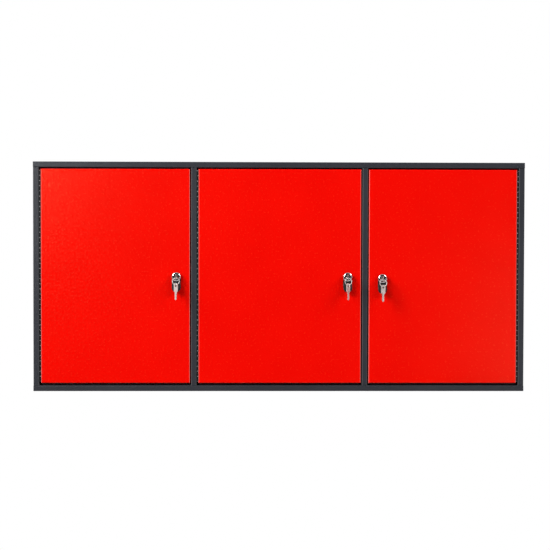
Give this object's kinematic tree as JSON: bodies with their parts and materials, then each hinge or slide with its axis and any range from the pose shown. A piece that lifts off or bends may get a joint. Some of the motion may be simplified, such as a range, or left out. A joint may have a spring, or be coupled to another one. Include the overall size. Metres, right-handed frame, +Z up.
{
  "type": "wall cabinet",
  "caption": "Long steel wall cabinet for tools: dark folded carcass with partitions and shelves behind red flush doors on continuous hinges, each with a black pull and cam lock.",
  "frame": {"origin": "middle of the four wall fixing holes, on the outer face of the back sheet", "axes": "+X to the right seen from the front, +Y into the wall, +Z up; the doors face -Y"},
  "size_m": [1.2, 0.2342, 0.56],
  "materials": {
    "carcass_paint": "anthracite powder coat, fine texture",
    "door_paint": "red powder coat, fine texture",
    "zinc_steel": "bright zinc plate",
    "hinge_black": "satin black",
    "pin_steel": "bright drawn wire",
    "handle_plastic": "black moulded plastic, satin",
    "lock_chrome": "polished chrome plate on zinc die casting",
    "key_nickel": "nickel plate",
    "buffer_rubber": "black rubber"
  },
  "bodies": {
    "cabinet": {"top_panel": "carcass_paint", "bottom_panel": "carcass_paint", "left_side_panel": "carcass_paint", "right_side_panel": "carcass_paint", "back_panel": "carcass_paint", "left_post": "carcass_paint", "right_post": "carcass_paint", "left_partition": "carcass_paint", "right_partition": "carcass_paint", "left_shelf": "carcass_paint", "middle_shelf": "carcass_paint", "right_shelf": "carcass_paint", "shelf_clips": "zinc_steel", "door_buffers": "buffer_rubber", "left_frame_hinge_leaf": "hinge_black", "left_hinge_pin": "pin_steel", "middle_frame_hinge_leaf": "hinge_black", "middle_hinge_pin": "pin_steel", "right_frame_hinge_leaf": "hinge_black", "right_hinge_pin": "pin_steel"},
    "left_door": {"left_door_panel": "door_paint", "left_door_stiffener": "door_paint", "left_door_hinge_leaf": "hinge_black", "left_handle": "handle_plastic", "left_lock_housing": "lock_chrome", "left_lock_nut": "zinc_steel"},
    "left_lock_core": {"left_lock_plug": "lock_chrome", "left_lock_cam": "zinc_steel", "left_cam_screw": "zinc_steel"},
    "left_key": {"left_key": "key_nickel"},
    "left_key_ring": {"left_key_ring": "key_nickel"},
    "left_spare_key": {"left_spare_key": "key_nickel"},
    "middle_door": {"middle_door_panel": "door_paint", "middle_door_stiffener": "door_paint", "middle_door_hinge_leaf": "hinge_black", "middle_handle": "handle_plastic", "middle_lock_housing": "lock_chrome", "middle_lock_nut": "zinc_steel"},
    "middle_lock_core": {"middle_lock_plug": "lock_chrome", "middle_lock_cam": "zinc_steel", "middle_cam_screw": "zinc_steel"},
    "middle_key": {"middle_key": "key_nickel"},
    "middle_key_ring": {"middle_key_ring": "key_nickel"},
    "middle_spare_key": {"middle_spare_key": "key_nickel"},
    "right_door": {"right_door_panel": "door_paint", "right_door_stiffener": "door_paint", "right_door_hinge_leaf": "hinge_black", "right_handle": "handle_plastic", "right_lock_housing": "lock_chrome", "right_lock_nut": "zinc_steel"},
    "right_lock_core": {"right_lock_plug": "lock_chrome", "right_lock_cam": "zinc_steel", "right_cam_screw": "zinc_steel"},
    "right_key": {"right_key": "key_nickel"},
    "right_key_ring": {"right_key_ring": "key_nickel"},
    "right_spare_key": {"right_spare_key": "key_nickel"}
  },
  "joints": [
    {"name": "left_door_swing", "type": "hinge", "parent": "cabinet", "child": "left_door", "pos_m": [-0.5836, -0.1985, 0.00125], "axis": [0, 0, -1], "range_deg": [0, 110]},
    {"name": "left_key_turn", "type": "hinge", "parent": "left_door", "child": "left_lock_core", "pos_m": [-0.2515, -0.2, 0], "axis": [0, -1, 0], "range_deg": [0, 90]},
    {"name": "left_key_pull", "type": "slide", "parent": "left_lock_core", "child": "left_key", "axis": [0, -1, 0], "range_m": [0, 0.03]},
    {"name": "left_ring_swing", "type": "hinge", "parent": "left_key", "child": "left_key_ring", "pos_m": [-0.2515, -0.2287, -0.00487], "axis": [0, -1, 0], "range_deg": [-90, 0]},
    {"name": "left_spare_key_swing", "type": "hinge", "parent": "left_key_ring", "child": "left_spare_key", "pos_m": [-0.2515, -0.2287, -0.01873], "axis": [-1, 0, 0], "range_deg": [-5, 75]},
    {"name": "middle_door_swing", "type": "hinge", "parent": "cabinet", "child": "middle_door", "pos_m": [-0.2001, -0.1985, 0.00125], "axis": [0, 0, -1], "range_deg": [0, 110]},
    {"name": "middle_key_turn", "type": "hinge", "parent": "middle_door", "child": "middle_lock_core", "pos_m": [0.1665, -0.2, 0], "axis": [0, -1, 0], "range_deg": [0, 90]},
    {"name": "middle_key_pull", "type": "slide", "parent": "middle_lock_core", "child": "middle_key", "axis": [0, -1, 0], "range_m": [0, 0.03]},
    {"name": "middle_ring_swing", "type": "hinge", "parent": "middle_key", "child": "middle_key_ring", "pos_m": [0.1665, -0.2287, -0.00487], "axis": [0, -1, 0], "range_deg": [-90, 0]},
    {"name": "middle_spare_key_swing", "type": "hinge", "parent": "middle_key_ring", "child": "middle_spare_key", "pos_m": [0.1665, -0.2287, -0.01873], "axis": [-1, 0, 0], "range_deg": [-5, 75]},
    {"name": "right_door_swing", "type": "hinge", "parent": "cabinet", "child": "right_door", "pos_m": [0.5836, -0.1985, 0.00125], "axis": [0, 0, 1], "range_deg": [0, 110]},
    {"name": "right_key_turn", "type": "hinge", "parent": "right_door", "child": "right_lock_core", "pos_m": [0.2515, -0.2, -0.0036], "axis": [0, 1, 0], "range_deg": [0, 90]},
    {"name": "right_key_pull", "type": "slide", "parent": "right_lock_core", "child": "right_key", "axis": [0, -1, 0], "range_m": [0, 0.03]},
    {"name": "right_ring_swing", "type": "hinge", "parent": "right_key", "child": "right_key_ring", "pos_m": [0.2515, -0.2287, -0.00847], "axis": [0, 1, 0], "range_deg": [-90, 0]},
    {"name": "right_spare_key_swing", "type": "hinge", "parent": "right_key_ring", "child": "right_spare_key", "pos_m": [0.2515, -0.2287, -0.02233], "axis": [-1, 0, 0], "range_deg": [-5, 75]}
  ],
  "couplings": [
    {"joint": "left_ring_swing", "follows": "left_key_turn", "ratio": -1},
    {"joint": "middle_ring_swing", "follows": "middle_key_turn", "ratio": -1},
    {"joint": "right_ring_swing", "follows": "right_key_turn", "ratio": -1}
  ]
}
